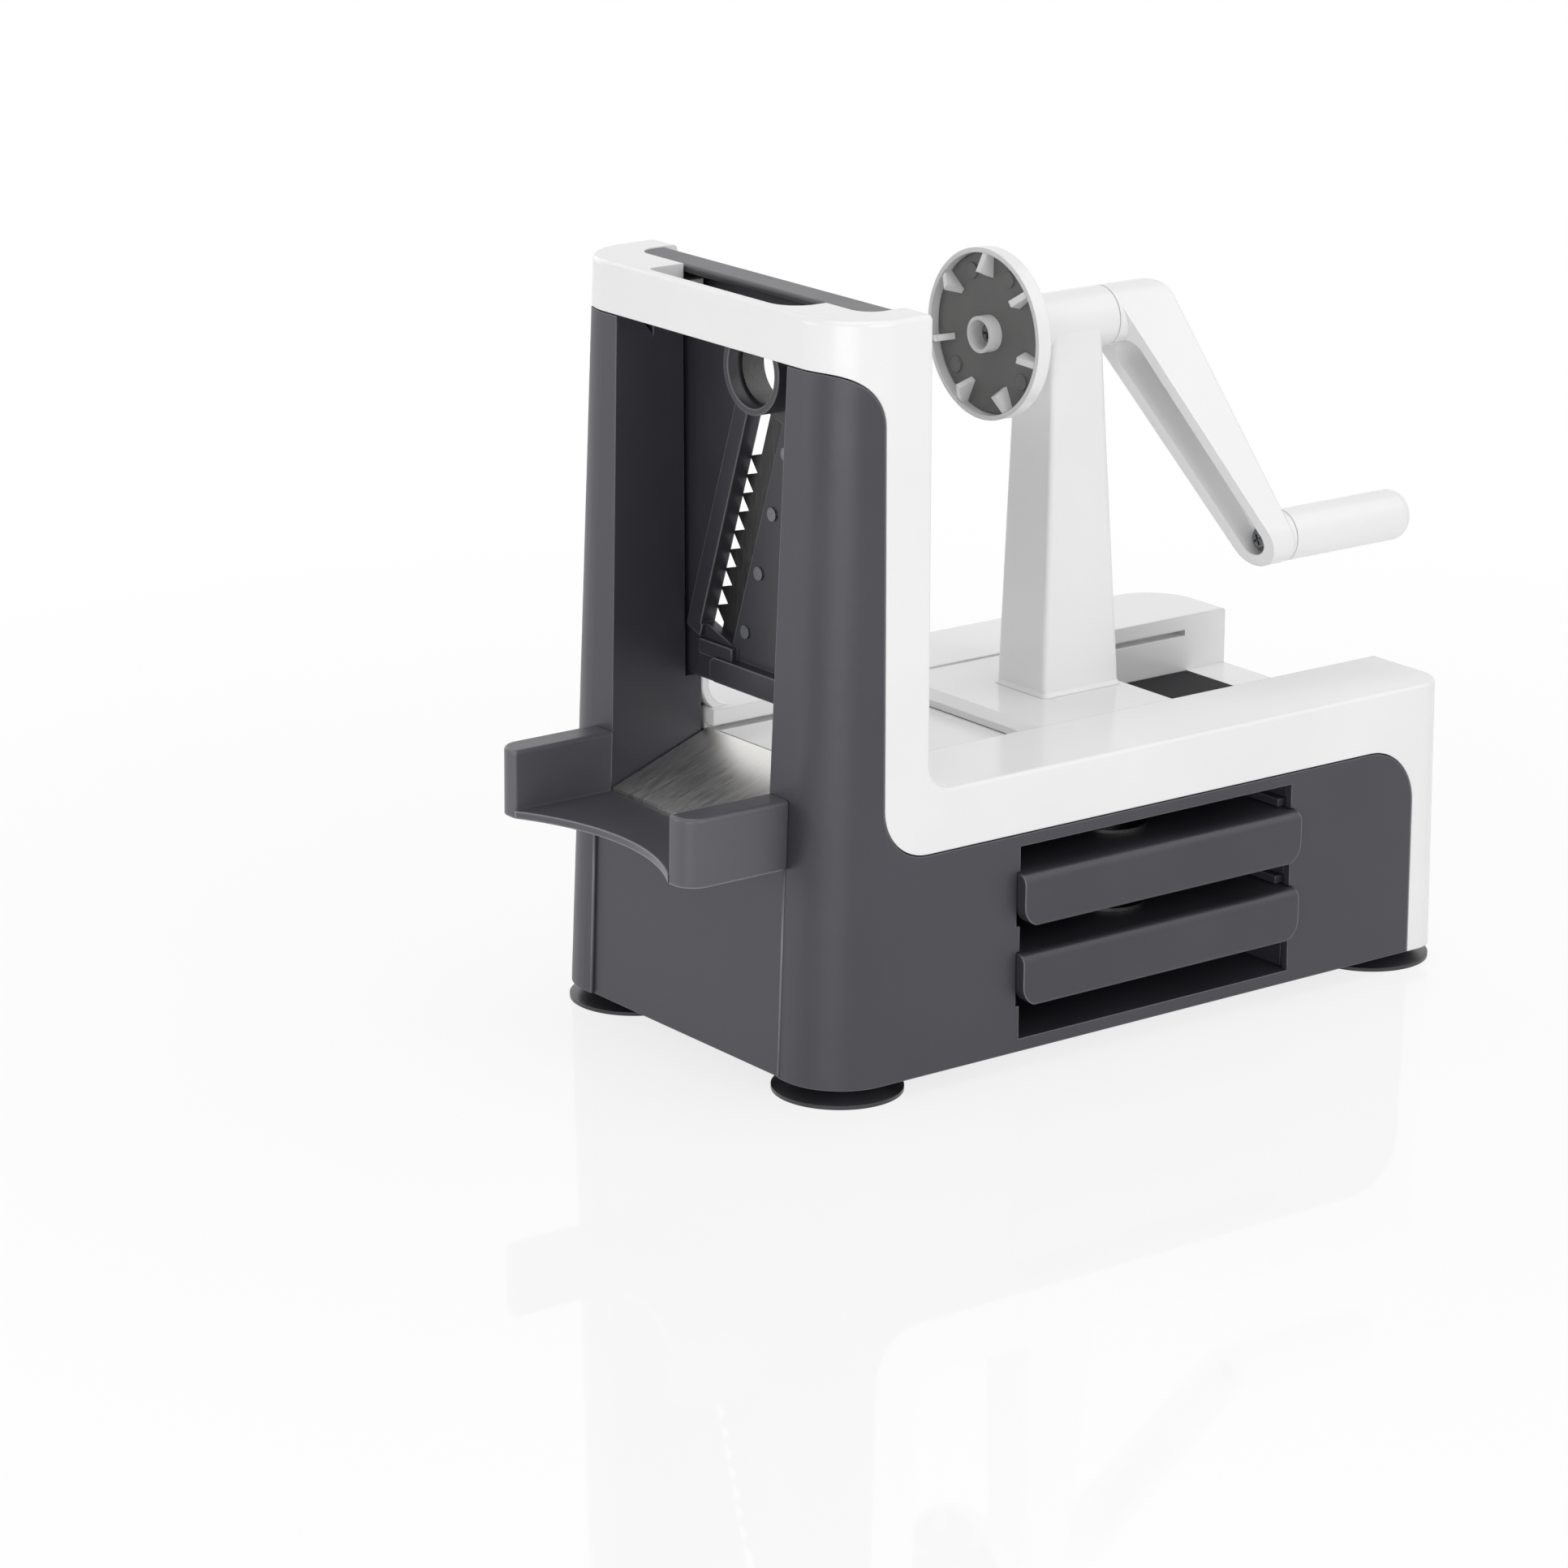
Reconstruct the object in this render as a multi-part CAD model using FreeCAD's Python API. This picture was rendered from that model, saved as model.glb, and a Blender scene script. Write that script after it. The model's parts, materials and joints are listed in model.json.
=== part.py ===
import FreeCAD, Part
import math
import os

from FreeCAD import Vector

# Hand-cranked vegetable spiralizer: an L-shaped two-colour casing on four suction feet, a blade insert
# in the tower, two spare inserts in a side bay, and a sliding carriage that carries the crank.
#
# Millimetres. While the pieces are built, X = 0 is the tower's rear face, +X points to the crank,
# Y = 0 is the crank's plane, -Y is the side with the storage bay and Z = 0 is the casing's lower edge.
# The last step moves everything so that the origin is the bottom centre of the bounding box.

# ---- Fits ---------------------------------------------------------------------------------------
body_gap = 0.3            # between pieces that move apart
running_gap = 0.05        # radial, shafts in bushes
press_gap = 0.02          # radial, pins and rings seated in their holes
seam_gap = 0.2            # between the two casings
overcut = 10.0            # how far cutting tools run past a surface
bite = 1.0                # how far joined solids and short cuts run into each other
pick = 0.1                # reach when edges are picked by their place

# ---- Casing outline -------------------------------------------------------------------------------
body_half_width = 75.0
side_draft = 0.016
tower_height = 241.7
tower_front_x = -40.1
front_draft = 0.024
base_rear_x = 222.8
rear_draft = 0.009
rail_top = 92.0
front_corner_radius = 20.5
rear_left_radius = 12.0
rear_right_radius = 19.0
step_radius = 9.0         # hollow where the tower meets the rails
rail_edge_radius = 1.4
tower_edge_radius = 1.8
wall = 2.5

# ---- Line between the white and the grey casing ---------------------------------------------------
beam_height = 16.3
column_split_x = -18.0
base_split_z = 71.9
rear_band = 16.7
split_top_radius = 16.5
split_inner_radius = 17.0
split_rear_radius = 19.5
groove_width = 0.5
groove_depth = 1.2

# ---- Tower portal and insert slot -----------------------------------------------------------------
portal_half_top = 44.0
portal_half_bottom = 41.0
chute_top_z = 86.0        # at the tower's rear face
chute_drop = 14.5         # from the rear face to the tower's front face
chute_thickness = 1.2
chute_setback = 0.1       # of the sheet's front edge in the tower's front face
lift_opening_left = -39.5
lift_opening_right = 33.3
lift_corner_left = 10.0
lift_corner_right = 3.0
beam_front_wall = 3.9
flange_overlap = 6.6      # white flange behind the insert's edges
flange_thickness = 2.3
column_block_inset = 8.0

# ---- Blade insert ---------------------------------------------------------------------------------
insert_half_width = 58.6
insert_top_drop = 0.3     # below the tower's top
insert_sill = 12.5        # of the insert's lower edge above the rails
insert_rear_x = -2.6
insert_thickness = 3.6
insert_edge_radius = 0.8
lip_thickness = 2.8
lip_front_x = -16.2
spare_lip_front_x = -20.0 # the two spare inserts have a deeper lip
lip_corner_radius = 7.0
lip_edge_radius = 1.2
lip_bend_radius = 3.4
lip_inner_radius = 1.2
lip_return_height = 5.0   # turned-down ends of the lip
lip_return_width = 2.4
insert_edge_rib_width = 4.4
insert_rib_depth = 2.2
slot_angle = 18.0         # from straight down, towards +Y
slot_start = 15.0         # distances from the crank axis
slot_end_gap = 12.8       # from the slot's end to the height of the insert's lower edge
slot_left = -10.0         # across the slot
slot_right = 4.8
slot_band_width = 8.2
slot_band_bevel = 1.6
slot_band_overhang = 4.0  # past the slot's ends
tooth_pitch = 6.9
tooth_start = 32.0
tooth_depth = 5.2
tooth_valley_across = 0.4
blade_thickness = 0.8
blade_mount_width = 9.0
blade_lift = 2.0
blade_bevel = 1.0
blade_edge_across = -3.0
ring_radius = 12.0
ring_wall = 1.0
ring_front_x = -10.0
ring_rear_x = -1.5
collar_front_x = -15.0
collar_wall = 2.2
insert_bar_lift = 2.0     # above the insert's lower edge
insert_bar_height = 8.0
insert_bar_half = 27.0
insert_bar_depth = 4.0
insert_bar_radius = 3.0
insert_block_start = 17.5
insert_block_end = 34.8
insert_block_height = 4.0
rivet_count = 4
rivet_inset = 5.0         # from the slot's edge
rivet_end_inset = 8.0     # from the slot's ends
rivet_radius = 1.2
rivet_head_radius = 2.2
rivet_head_height = 0.7

# ---- Storage bay for the spare inserts ------------------------------------------------------------
bay_centre_x = 94.1
bay_mouth_inset = 1.1     # of the mouth's sides from the stored inserts' edges
bay_low_z = 4.2
bay_high_z = 67.8
stored_lip_stand = 3.3    # of a stored lip's outer face from the casing's side
stored_upper_top = 59.3
stored_pitch = 26.4
runner_wall = 3.5
runner_ledge = 3.6
runner_ledge_height = 2.6
runner_weld = 0.5         # of a ledge in its wall
runner_tail = 4.4         # past the stored inserts' far edge
bay_floor_thickness = 2.5

# ---- Rails, deck and channel ----------------------------------------------------------------------
channel_half = 38.0       # between the rails
rail_lip_thickness = 5.2
rail_lip_setback = 19.3   # from the casing's rear
rail_lip_step = 0.01      # of the lips' top below the rails
rail_groove_half = 43.0
rail_groove_height = 2.0
rail_inner_wall_half = 45.5
deck_drop = 5.9           # below the rails
deck_end_x = 76.0
deck_groove_inner = 34.8
deck_thickness = 2.5
bridge_setback = 18.2     # from the casing's rear
channel_floor_z = 72.3

# ---- Catch tray -----------------------------------------------------------------------------------
tray_front_x = -76.5
tray_outer_half = 51.4
tray_inner_half = 41.0
tray_top = 90.6
tray_bottom = 68.5
tray_floor_thickness = 2.5
tray_corner_radius = 7.0
tray_edge_radius = 1.2
tray_wall = 2.2
tray_floor_middle_x = -65.0
front_panel_half = 50.0
front_panel_depth = 0.8

# ---- Carriage -------------------------------------------------------------------------------------
plate_front_x = 72.5
plate_rear_x = 132.2
plate_drop = 0.5          # below the rails
plate_edge_radius = 0.8
tongue_setback = 1.5      # from the plate's rear edge
plate_skin = 2.6
plate_rim = 4.5
plate_bevel = 2.9
post_front_x = 97.3
post_rear_x = 129.8
post_half = 12.5
post_top_front_x = 99.7
post_top_rear_x = 120.6
post_head_step = 0.15     # of the post's sides inside the head
post_corner_radius = 2.0
post_inner_radius = 0.6
post_screw_inset = 6.0
post_foot_flare = 0.9
post_foot_height = 1.6
crank_axis_drop = 28.4    # below the tower's top
head_radius = 10.15
head_edge_radius = 0.8
head_bore_gap = 0.25      # radial, around the shaft between the bushes
head_front_x = 86.0
seam_x = 127.85           # running seam between the head and the crank's hub
shaft_radius = 4.0
bush_radius = 6.0
bush_length = 8.0

# ---- Food disc ------------------------------------------------------------------------------------
disc_radius = 27.9
disc_rim = 1.6
disc_rim_front_x = 78.2
disc_plate_front_x = 82.2
disc_rear_x = 84.0
disc_hub_radius = 8.0
pad_thickness = 1.0
tooth_fin_count = 7
fin_width = 2.2
fin_inner_radius = 17.5
fin_tip_radius = 20.5
fin_tip_x = 75.6
fin_rim_step = 0.6
fin_slot_gap = 0.1
spike_ring_radius = 6.0
spike_ring_wall = 1.2
spike_ring_front_x = 76.6
pad_boss_radius = 2.6
pad_boss_circle = 21.0
pad_boss_height = 0.6
disc_edge_radius = 1.2
disc_weld = 0.2
shaft_end_gap = 0.1

# ---- Crank ----------------------------------------------------------------------------------------
crank_angle = -29.9       # the arm hangs towards -Y
arm_length = 82.7
arm_end_radius = 8.9
arm_front_slope = 0.375
arm_front_start = 2.5     # above the axis
arm_rear_slope = 0.22
hub_depth = 24.0
hub_round = 9.0
hub_edge_radius = 0.8
arm_rear_radius = 2.0
arm_front_radius = 1.0
arm_wall = 4.0
arm_floor = 2.6
pocket_start = 15.5
neck_length = 2.4         # behind the arm's rear face
screw_boss_length = 4.7
screw_boss_radius = 5.2
grip_radius = 8.6
grip_length = 53.4
grip_end_round = 5.5
grip_wall = 2.2
grip_core_radius = 4.6
grip_end_wall = 6.3
sleeve_radius = 3.0
sleeve_seat_depth = 2.2
washer_thickness = 0.5
washer_inset = 0.8
grip_screw_radius = 1.6

# ---- Screws ---------------------------------------------------------------------------------------
screw_radius = 1.5
screw_head_radius = 3.2
screw_head_height = 2.0
screw_length = 12.0
boss_radius = 4.0
frame_screw_front_x = 18.0
frame_screw_setback = 39.8 # from the casing's rear
frame_screw_inset = 17.0

# ---- Suction feet ---------------------------------------------------------------------------------
foot_radius = 21.0
foot_height = 5.9
foot_rim_thickness = 1.2
foot_neck_radius = 5.0
foot_head_radius = 7.0
foot_head_height = 3.0
foot_plate_thickness = 3.0
foot_front_inset = 20.2
foot_rear_inset = 16.1
foot_side_inset = 20.6
foot_recess_radius = 17.0
foot_recess_depth = 1.8
foot_slope = 2.0
foot_collar_drop = 1.0

# ---- Sizes worked out from the ones above ---------------------------------------------------------
beam_bottom = tower_height - beam_height
rear_split_x = base_rear_x - rear_band
column_block_half = body_half_width - column_block_inset
insert_top = tower_height - insert_top_drop
insert_bottom = rail_top + insert_sill
insert_front_x = insert_rear_x - insert_thickness
insert_rib_x = insert_front_x - insert_rib_depth
insert_bar_low = insert_bottom + insert_bar_lift
insert_bar_high = insert_bar_low + insert_bar_height
lip_bottom = insert_top - lip_thickness
slot_floor_z = insert_bottom - body_gap
flange_inner_half = insert_half_width - flange_overlap
crank_axis_z = tower_height - crank_axis_drop
slot_end = crank_axis_z - insert_bottom - slot_end_gap
tooth_count = int((slot_end - tooth_start) / tooth_pitch)
bay_half_width = insert_half_width - bay_mouth_inset
stored_lip_y = -body_half_width - stored_lip_stand
stored_lower_top = stored_upper_top - stored_pitch
runner_reach = insert_half_width + body_gap
runner_top_z = base_split_z - seam_gap / 2 - wall
runner_end_y = stored_lip_y + insert_top - insert_bottom + runner_tail
rail_lip_bottom = rail_top - rail_lip_thickness
rail_lip_end_x = base_rear_x - rail_lip_setback
rail_groove_floor = rail_lip_bottom - rail_groove_height
bridge_start_x = base_rear_x - bridge_setback
deck_top = rail_top - deck_drop
plate_bottom = deck_top + body_gap
plate_top = rail_top - plate_drop
plate_half = channel_half - body_gap
post_top_half = head_radius - post_head_step
hub_front_x = seam_x + body_gap / 2
head_rear_x = seam_x - body_gap / 2
frame_screw_x = (frame_screw_front_x, base_rear_x - frame_screw_setback)
frame_screw_y = body_half_width - frame_screw_inset
foot_front_x = tower_front_x + foot_front_inset
foot_rear_x = base_rear_x - foot_rear_inset
foot_y = body_half_width - foot_side_inset
far = body_half_width + overcut


# ---- Helpers --------------------------------------------------------------------------------------
def box(x, y, z):
    """Block between the (low, high) pairs given for each axis."""
    size = [high - low for low, high in (x, y, z)]
    return Part.makeBox(*size, Vector(x[0], y[0], z[0]))


def both_sides(x, y, z):
    """Two blocks, mirrored in the plane Y = 0."""
    return box(x, y, z).fuse(box(x, (-y[1], -y[0]), z))


def rod(x, radius, y=0.0, z=crank_axis_z):
    """Cylinder along X between the (low, high) pair x."""
    return Part.makeCylinder(radius, x[1] - x[0], Vector(x[0], y, z), Vector(1, 0, 0))


def upright(x, y, z, radius):
    """Cylinder along Z between the (low, high) pair z."""
    return Part.makeCylinder(radius, z[1] - z[0], Vector(x, y, z[0]))


def fused(shapes):
    """One clean solid or compound from overlapping shapes."""
    return shapes[0].fuse(shapes[1:]).removeSplitter()


def rounded_wire(corners):
    """Closed outline of straight edges and tangent arcs through (point, radius) corners."""
    stretches = []
    for index, (point, radius) in enumerate(corners):
        before = (corners[index - 1][0] - point).normalize()
        after = (corners[(index + 1) % len(corners)][0] - point).normalize()
        if radius <= 0:
            stretches.append((point, None, point))
            continue
        half_angle = before.getAngle(after) / 2
        reach = radius / math.tan(half_angle)
        middle = point + (before + after).normalize() * (radius / math.sin(half_angle) - radius)
        stretches.append((point + before * reach, middle, point + after * reach))
    edges = []
    for index, (start, middle, end) in enumerate(stretches):
        if middle is not None:
            edges.append(Part.Arc(start, middle, end).toShape())
        following = stretches[(index + 1) % len(stretches)][0]
        edges.append(Part.LineSegment(end, following).toShape())
    return Part.Wire(edges)


def along_y(corners, low, high):
    """Prism of an (x, z, radius) outline between two Y values."""
    wire = rounded_wire([(Vector(x, low, z), radius) for x, z, radius in corners])
    return Part.Face(wire).extrude(Vector(0, high - low, 0))


def along_x(corners, low, high):
    """Prism of a (y, z, radius) outline between two X values."""
    wire = rounded_wire([(Vector(low, y, z), radius) for y, z, radius in corners])
    return Part.Face(wire).extrude(Vector(high - low, 0, 0))


def along_z(corners, low, high):
    """Prism of an (x, y, radius) outline between two Z values."""
    wire = rounded_wire([(Vector(x, y, low), radius) for x, y, radius in corners])
    return Part.Face(wire).extrude(Vector(0, 0, high - low))


def turned(profile, axis_point, axis):
    """Solid of revolution of a closed list of points."""
    wire = Part.makePolygon(profile + [profile[0]])
    return Part.Face(wire).revolve(axis_point, axis, 360)


def screw(head_centre, direction, radius=screw_radius, length=screw_length):
    """Pan-head screw: a cross-slotted head that stands against direction and a plain shank."""
    shank = Part.makeCylinder(radius, length, head_centre, direction)
    top = head_centre - direction * screw_head_height
    head = Part.makeCylinder(screw_head_radius, screw_head_height, top, direction)
    rim = [edge for edge in head.Edges if edge.Length > screw_head_radius
           and (edge.CenterOfMass - top).Length < screw_head_height / 4]
    head = head.makeFillet(screw_head_height / 2.5, rim)
    slot_width = screw_head_radius / 4
    slot = Part.makeBox(slot_width, screw_head_radius * 1.2, screw_head_height / 2,
                        Vector(-slot_width / 2, -screw_head_radius * 0.6, 0))
    cross = slot.fuse(slot.rotated(Vector(0, 0, 0), Vector(0, 0, 1), 90))
    cross.Placement = FreeCAD.Placement(top, FreeCAD.Rotation(Vector(0, 0, 1), direction))
    return fused([head.cut(cross), shank])


# ---- Casing volume --------------------------------------------------------------------------------
def half_width(z):
    """Half the casing's width at height z."""
    return body_half_width - side_draft * z


def front_x(z):
    """Where the tower's front face stands at height z."""
    return tower_front_x + front_draft * z


def plan_outline(z, inset):
    """Rounded plan outline of the drafted casing at height z."""
    side = half_width(z) - inset
    front = front_x(z) + inset
    rear = base_rear_x - rear_draft * z - inset
    return rounded_wire([
        (Vector(front, -side, z), front_corner_radius - inset),
        (Vector(rear, -side, z), rear_left_radius - inset),
        (Vector(rear, side, z), rear_right_radius - inset),
        (Vector(front, side, z), front_corner_radius - inset)])


def casing_volume(inset):
    """The L-shaped outer volume, moved inwards by inset and open below when it is a cavity."""
    floor = -overcut if inset else 0.0
    block = Part.makeLoft([plan_outline(floor, inset), plan_outline(tower_height, inset)], True, True)
    front = tower_front_x - overcut
    rear = base_rear_x + overcut
    side = along_y([
        (front, floor, 0),
        (rear, floor, 0),
        (rear, rail_top - inset, 0),
        (-inset, rail_top - inset, step_radius + inset),
        (-inset, tower_height - inset, 0),
        (front, tower_height - inset, 0)], -far, far)
    return block.common(side)


def rounded_casing():
    """The outer volume with its rail, step and tower edges rounded."""
    block = casing_volume(0.0)
    rail_chain = []
    for edge in block.Edges:
        middle = edge.CenterOfMass
        outer = abs(middle.y) > rail_inner_wall_half or middle.x > rail_lip_end_x + overcut
        if outer and middle.x > -bite and rail_top - bite < middle.z < tower_height - bite:
            rail_chain.append(edge)
    block = block.makeFillet(rail_edge_radius, rail_chain)
    top_loop = [edge for edge in block.Edges if edge.CenterOfMass.z > tower_height - pick]
    return block.makeFillet(tower_edge_radius, top_loop)


def grey_side(inset):
    """Prism of the grey casing's side outline, moved inwards by inset."""
    front = tower_front_x - overcut
    return along_y([
        (front, beam_bottom - inset, 0),
        (column_split_x - inset, beam_bottom - inset, split_top_radius - inset),
        (column_split_x - inset, base_split_z - inset, split_inner_radius + inset),
        (rear_split_x - inset, base_split_z - inset, split_rear_radius - inset),
        (rear_split_x - inset, -2 * overcut, 0),
        (front, -2 * overcut, 0)], -far, far)


def chute_z(x):
    """Height of the chute's upper face."""
    return chute_top_z + chute_drop * x / -tower_front_x


def portal_tool(low_x, high_x, side_gap=0.0):
    """The tapered opening through the tower, above the chute's underside."""
    lower = chute_z(low_x) - chute_thickness
    upper = chute_z(high_x) - chute_thickness
    wedge = along_x([
        (-portal_half_bottom - side_gap, base_split_z - overcut, 0),
        (portal_half_bottom + side_gap, base_split_z - overcut, 0),
        (portal_half_top + side_gap, beam_bottom, 0),
        (-portal_half_top - side_gap, beam_bottom, 0)], low_x, high_x)
    above = along_y([
        (low_x, lower, 0), (high_x, upper, 0), (high_x, beam_bottom, 0), (low_x, beam_bottom, 0)], -far, far)
    return wedge.common(above)


outer = rounded_casing()
cavity = casing_volume(wall)
shallow = casing_volume(groove_depth)
groove = (grey_side(-groove_width / 2).cut(grey_side(groove_width / 2))).cut(shallow)


# ---- Grey lower housing ---------------------------------------------------------------------------
def storage_opening():
    """Opening in the left wall with side notches where the two stored lips stand."""
    wall_y = (-far, -body_half_width + 3 * wall)
    tools = [box((bay_centre_x - bay_half_width, bay_centre_x + bay_half_width), wall_y,
                 (bay_low_z, bay_high_z))]
    lip_depth = insert_rear_x - spare_lip_front_x
    for top in (stored_upper_top, stored_lower_top):
        tools.append(box((bay_centre_x - runner_reach, bay_centre_x + runner_reach), wall_y,
                         (top - lip_depth - body_gap, top + body_gap)))
    return fused(tools)


def foot_places():
    """Names and centres of the four feet, left being -Y."""
    return {
        "suction_foot_front_left": (foot_front_x, -foot_y),
        "suction_foot_front_right": (foot_front_x, foot_y),
        "suction_foot_rear_left": (foot_rear_x, -foot_y),
        "suction_foot_rear_right": (foot_rear_x, foot_y)}


def lower_housing():
    """Grey shell: tower front, columns and base, open below."""
    grey = grey_side(seam_gap / 2)
    skin = outer.common(grey)
    hollow = cavity.common(grey_side(seam_gap / 2 + wall))
    shell = skin.cut(hollow)

    column_walls = skin.common(both_sides(
        (tower_front_x - overcut, column_split_x - wall / 2),
        (portal_half_bottom - overcut, portal_half_top + wall),
        (base_split_z - 2 * wall, beam_bottom)))
    block_top = beam_bottom - seam_gap
    slot_front_x = insert_rib_x - body_gap
    slot_rear_x = -flange_thickness - seam_gap
    blocks = [
        both_sides((column_split_x - wall, slot_front_x),
                   (portal_half_bottom - overcut, column_block_half), (base_split_z - wall, block_top)),
        both_sides((slot_front_x, slot_rear_x),
                   (insert_half_width + body_gap, column_block_half), (base_split_z - wall, block_top)),
        both_sides((slot_front_x, slot_rear_x),
                   (portal_half_bottom - overcut, column_block_half), (base_split_z - wall, slot_floor_z))]
    sill = along_y([
        (tower_front_x - overcut, chute_z(tower_front_x - overcut) - chute_thickness, 0),
        (-seam_gap, chute_z(-seam_gap) - chute_thickness, 0),
        (-seam_gap, chute_z(-seam_gap) - chute_thickness - wall, 0),
        (tower_front_x - overcut, chute_z(tower_front_x - overcut) - chute_thickness - wall, 0)],
        -portal_half_top, portal_half_top).common(casing_volume(seam_gap).fuse(skin))
    floor_reach = runner_reach + runner_wall
    bay_floor = box((bay_centre_x - floor_reach, bay_centre_x + floor_reach),
                    (-half_width(0) + wall / 2, runner_end_y),
                    (bay_low_z - bay_floor_thickness, bay_low_z))
    shell = fused([shell, column_walls] + blocks + [sill, bay_floor])
    shell = shell.cut(portal_tool(tower_front_x - overcut, bite))

    plates = []
    for x, y in foot_places().values():
        side = 1 if y > 0 else -1
        y_pair = sorted((side * (foot_y - foot_head_radius - overcut), side * body_half_width))
        plate = box((x - foot_head_radius - overcut, x + foot_head_radius + overcut / 2),
                    y_pair, (0, foot_plate_thickness))
        plates.append(plate.common(casing_volume(wall + seam_gap).fuse(skin)))
    shell = fused([shell] + plates)
    tools = [storage_opening(), groove]
    for x, y in foot_places().values():
        tools.append(upright(x, y, (-bite, foot_plate_thickness + bite), foot_neck_radius + press_gap))
        reach = foot_head_radius + body_gap
        tools.append(box((x - reach, x + reach), (y - reach, y + reach),
                         (foot_plate_thickness, foot_plate_thickness + foot_head_height + body_gap)))
    for x in frame_screw_x:
        for y in (-frame_screw_y, frame_screw_y):
            tools.append(upright(x, y, (base_split_z - 2 * wall, base_split_z + bite),
                                 screw_radius + press_gap))
    panel = box((tower_front_x - overcut, front_x(tray_bottom) + overcut),
                (-front_panel_half, front_panel_half), (-bite, tray_bottom))
    tools.append(panel.cut(casing_volume(front_panel_depth)))
    return shell.cut(tools).removeSplitter()


# ---- White upper frame ----------------------------------------------------------------------------
def insert_slot():
    """What the beam leaves free for the insert's lip, its body and its core ring."""
    reach = insert_half_width + body_gap
    front = front_x(beam_bottom) + beam_front_wall
    slot_front = insert_rib_x - body_gap
    above = tower_height + overcut
    lip_recess = along_z([
        (lip_front_x - body_gap, -reach, lip_corner_radius),
        (overcut, -reach, 0), (overcut, reach, 0),
        (lip_front_x - body_gap, reach, lip_corner_radius)],
        insert_top - lip_return_height - body_gap, above)
    body_slot = box((slot_front, -flange_thickness), (-reach, reach), (rail_top, above))
    rear_slot = box((-flange_thickness - bite, overcut), (-flange_inner_half, flange_inner_half),
                    (slot_floor_z, above))
    ring_room = along_z([
        (slot_front + bite, lift_opening_left, 0), (front, lift_opening_left, lift_corner_left),
        (front, lift_opening_right, lift_corner_right), (slot_front + bite, lift_opening_right, 0)],
        beam_bottom - overcut, above)
    return fused([lip_recess, body_slot, rear_slot, ring_room])


def upper_frame():
    """White frame: beam, rear bands of the tower, rails, deck and rear band."""
    grey = grey_side(-seam_gap / 2)
    skin = outer.cut(grey)
    shell = skin.cut(cavity)
    beam = skin.common(box((tower_front_x - overcut, 0), (-far, far), (beam_bottom, tower_height)))
    channel = box((-bite, base_rear_x + overcut), (-channel_half, channel_half),
                  (channel_floor_z, rail_top + overcut))
    shell = fused([shell, beam]).cut(channel)

    split_top = base_split_z + seam_gap / 2
    inner_walls = skin.common(both_sides((0, base_rear_x + overcut), (channel_half, rail_inner_wall_half),
                                         (split_top, rail_top)))
    lips = both_sides((0, rail_lip_end_x), (channel_half, rail_inner_wall_half),
                      (rail_lip_bottom, rail_top - rail_lip_step))
    deck = box((0, deck_end_x), (-rail_inner_wall_half, rail_inner_wall_half),
               (rail_groove_floor - deck_thickness, deck_top))
    bridge = skin.common(box((bridge_start_x, base_rear_x + overcut),
                             (-rail_inner_wall_half, rail_inner_wall_half),
                             (channel_floor_z - wall, channel_floor_z)))
    bosses = [upright(x, y, (split_top, rail_top - wall / 2), boss_radius)
              for x in frame_screw_x for y in (-frame_screw_y, frame_screw_y)]
    shell = fused([shell, inner_walls, lips, deck, bridge] + bosses)

    tools = [
        both_sides((-bite, rail_lip_end_x), (channel_half - bite, rail_groove_half),
                   (rail_groove_floor, rail_lip_bottom)),
        both_sides((-bite, deck_end_x + bite), (deck_groove_inner, channel_half),
                   (rail_groove_floor, rail_lip_bottom)),
        box((deck_thickness, deck_end_x - deck_thickness),
            (-deck_groove_inner + deck_thickness, deck_groove_inner - deck_thickness),
            (rail_groove_floor - deck_thickness - bite, deck_top - deck_thickness)),
        box((-overcut, overcut), (-portal_half_bottom, portal_half_bottom), (rail_top, slot_floor_z)),
        insert_slot(),
        groove]
    for x in frame_screw_x:
        for y in (-frame_screw_y, frame_screw_y):
            tools.append(upright(x, y, (split_top - bite, base_split_z + screw_length),
                                 screw_radius + press_gap))
    return shell.cut(tools).removeSplitter()


def outlet_chute():
    """Bent steel sheet that slopes from the deck down to the tray."""
    front = front_x(chute_top_z - chute_drop) + chute_setback
    rear = -body_gap
    side = portal_half_bottom - body_gap
    return along_y([
        (front, chute_z(front) - chute_thickness, 0),
        (rear, chute_z(rear) - chute_thickness, 0),
        (rear, chute_z(rear), 0),
        (front, chute_z(front), 0)], -side, side)


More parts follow.
